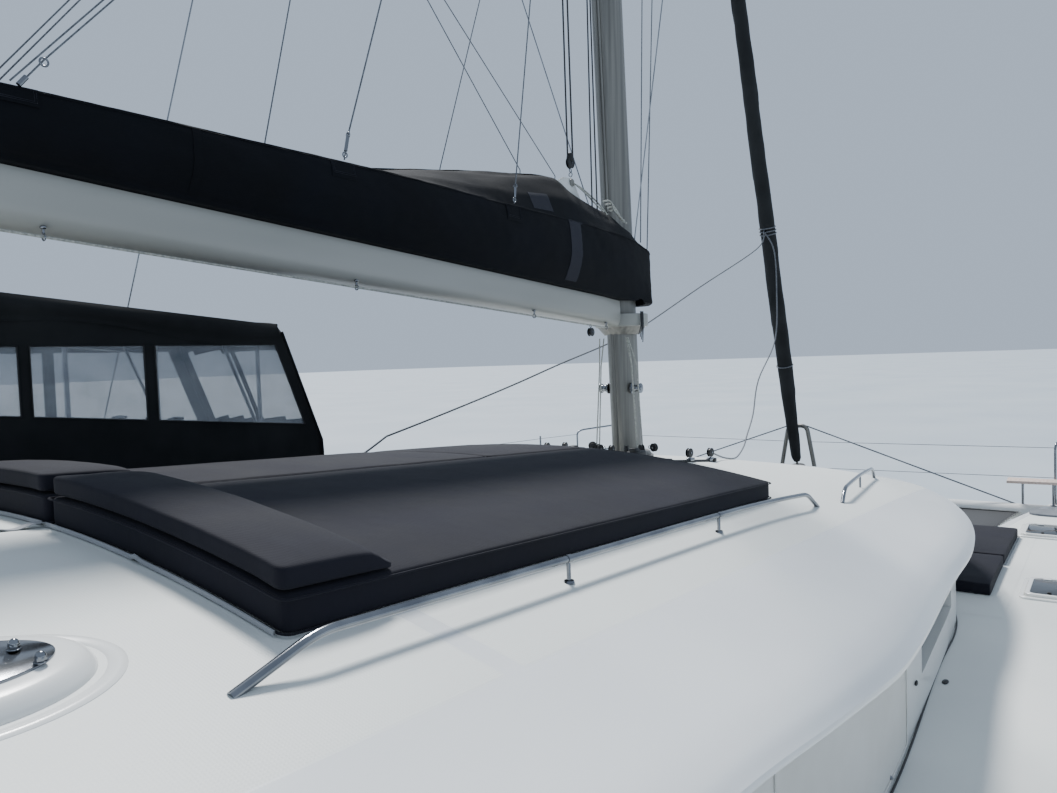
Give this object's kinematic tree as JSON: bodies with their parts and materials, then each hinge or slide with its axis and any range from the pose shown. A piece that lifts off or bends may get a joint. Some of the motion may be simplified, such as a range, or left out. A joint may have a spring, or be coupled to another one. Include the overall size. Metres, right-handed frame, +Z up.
{
  "type": "cruising sailing catamaran",
  "caption": "Cruising sailing catamaran with stowed sails, helm canopy, roof sun pads, bow trampolines, turning rudders and propellers.",
  "frame": {"origin": "on the centreline at the waterline, half way along the hulls", "axes": "+X towards the bows, +Y to port, +Z up"},
  "size_m": [13.0443, 7.7, 21.3],
  "materials": {
    "gelcoat": "gloss",
    "antifoul": "matte",
    "dark_glass": "gloss",
    "white_cover": "woven",
    "navy_canvas": "woven",
    "navy_cushion": "woven",
    "clear_vinyl": "gloss",
    "stainless": "polished",
    "anodised": "satin",
    "boom_paint": "satin",
    "netting": "woven",
    "sailcloth": "woven",
    "plank": "satin",
    "bronze": "satin",
    "black_plastic": "satin",
    "rope": "woven",
    "laminate": "satin"
  },
  "bodies": {
    "boat": {"hull_port": "gelcoat", "hull_starboard": "gelcoat", "bridge_deck": "gelcoat", "coachroof": "gelcoat", "saloon_walls": "gelcoat", "cockpit_furniture": "gelcoat", "helm_pod": "gelcoat", "roof_fitting": "gelcoat", "saloon_windows": "dark_glass", "window_cover_port": "white_cover", "window_cover_starboard": "white_cover", "saloon_furniture": "laminate", "roof_post_port": "stainless", "roof_post_starboard": "stainless", "canopy_frame": "stainless", "roof_handrail_port": "stainless", "roof_handrail_starboard": "stainless", "front_handrail_port": "stainless", "front_handrail_starboard": "stainless", "shroud_port": "stainless", "shroud_starboard": "stainless", "guard_rail_port": "stainless", "guard_rail_starboard": "stainless", "helm_canopy": "navy_canvas", "helm_seat": "navy_cushion", "sunpad_starboard": "navy_cushion", "sunpad_centre": "navy_cushion", "sunpad_forward": "navy_cushion", "bolster_starboard": "navy_cushion", "bolster_centre": "navy_cushion", "foredeck_pad_port": "navy_cushion", "foredeck_pad_starboard": "navy_cushion", "mast": "anodised", "crossbeam": "anodised", "longeron": "anodised", "trampoline_port": "netting", "trampoline_starboard": "netting", "bow_seat_port": "plank", "bow_seat_starboard": "plank", "saildrive_port": "antifoul", "saildrive_starboard": "antifoul"},
    "boom_body": {"boom": "boom_paint", "sail_bag": "navy_canvas", "sail_head": "sailcloth"},
    "furler": {"furled_headsail": "navy_canvas", "furler_drum": "black_plastic"},
    "wheel": {"steering_wheel": "stainless"},
    "door": {"sliding_door": "dark_glass"},
    "rudder_port_body": {"rudder_port": "antifoul"},
    "rudder_starboard_body": {"rudder_starboard": "antifoul"},
    "propeller_port_body": {"propeller_port": "bronze"},
    "propeller_starboard_body": {"propeller_starboard": "bronze"},
    "ladder": {"swim_ladder": "stainless"},
    "hatch_fore_port_lid": {"hatch_fore_port": "dark_glass"},
    "hatch_mid_port_lid": {"hatch_mid_port": "dark_glass"},
    "hatch_fore_starboard_lid": {"hatch_fore_starboard": "dark_glass"},
    "hatch_mid_starboard_lid": {"hatch_mid_starboard": "dark_glass"}
  },
  "joints": [
    {"name": "boom_swing", "type": "hinge", "parent": "boat", "child": "boom_body", "pos_m": [1.03, 0, 3.6], "axis": [0, 0, 1], "range_deg": [-42, 42]},
    {"name": "furler_turn", "type": "hinge", "parent": "boat", "child": "furler", "pos_m": [5.357, 0, 1.81], "axis": [-0.3022, 0, 0.9533], "continuous": true},
    {"name": "rudder_port_turn", "type": "hinge", "parent": "boat", "child": "rudder_port_body", "pos_m": [-5.2, 2.93, -0.4], "axis": [0, 0, 1], "range_deg": [-35, 35]},
    {"name": "rudder_starboard_turn", "type": "hinge", "parent": "boat", "child": "rudder_starboard_body", "pos_m": [-5.2, -2.93, -0.4], "axis": [0, 0, 1], "range_deg": [-35, 35]},
    {"name": "wheel_turn", "type": "hinge", "parent": "boat", "child": "wheel", "pos_m": [-2.48, 1.6, 2.64], "axis": [1, 0, 0], "range_deg": [-350, 350]},
    {"name": "door_slide", "type": "slide", "parent": "boat", "child": "door", "axis": [0, 1, 0], "range_m": [0, 0.6]},
    {"name": "propeller_port_spin", "type": "hinge", "parent": "boat", "child": "propeller_port_body", "pos_m": [-3.87, 2.93, -0.9], "axis": [1, 0, 0], "continuous": true},
    {"name": "propeller_starboard_spin", "type": "hinge", "parent": "boat", "child": "propeller_starboard_body", "pos_m": [-3.87, -2.93, -0.9], "axis": [1, 0, 0], "continuous": true},
    {"name": "ladder_fold", "type": "hinge", "parent": "boat", "child": "ladder", "pos_m": [-6.5143, -2.93, 0.3], "axis": [0, -1, 0], "range_deg": [0, 165]},
    {"name": "hatch_fore_port_open", "type": "hinge", "parent": "boat", "child": "hatch_fore_port_lid", "pos_m": [4.16, 2.765, 1.6505], "axis": [0, 1, 0], "range_deg": [0, 85]},
    {"name": "hatch_mid_port_open", "type": "hinge", "parent": "boat", "child": "hatch_mid_port_lid", "pos_m": [2.133, 2.93, 1.6505], "axis": [0, 1, 0], "range_deg": [0, 85]},
    {"name": "hatch_fore_starboard_open", "type": "hinge", "parent": "boat", "child": "hatch_fore_starboard_lid", "pos_m": [4.16, -2.765, 1.6505], "axis": [0, 1, 0], "range_deg": [0, 85]},
    {"name": "hatch_mid_starboard_open", "type": "hinge", "parent": "boat", "child": "hatch_mid_starboard_lid", "pos_m": [2.133, -2.93, 1.6505], "axis": [0, 1, 0], "range_deg": [0, 85]}
  ],
  "couplings": [
    {"joint": "rudder_starboard_turn", "follows": "rudder_port_turn", "ratio": 1},
    {"joint": "wheel_turn", "follows": "rudder_port_turn", "ratio": -10}
  ]
}
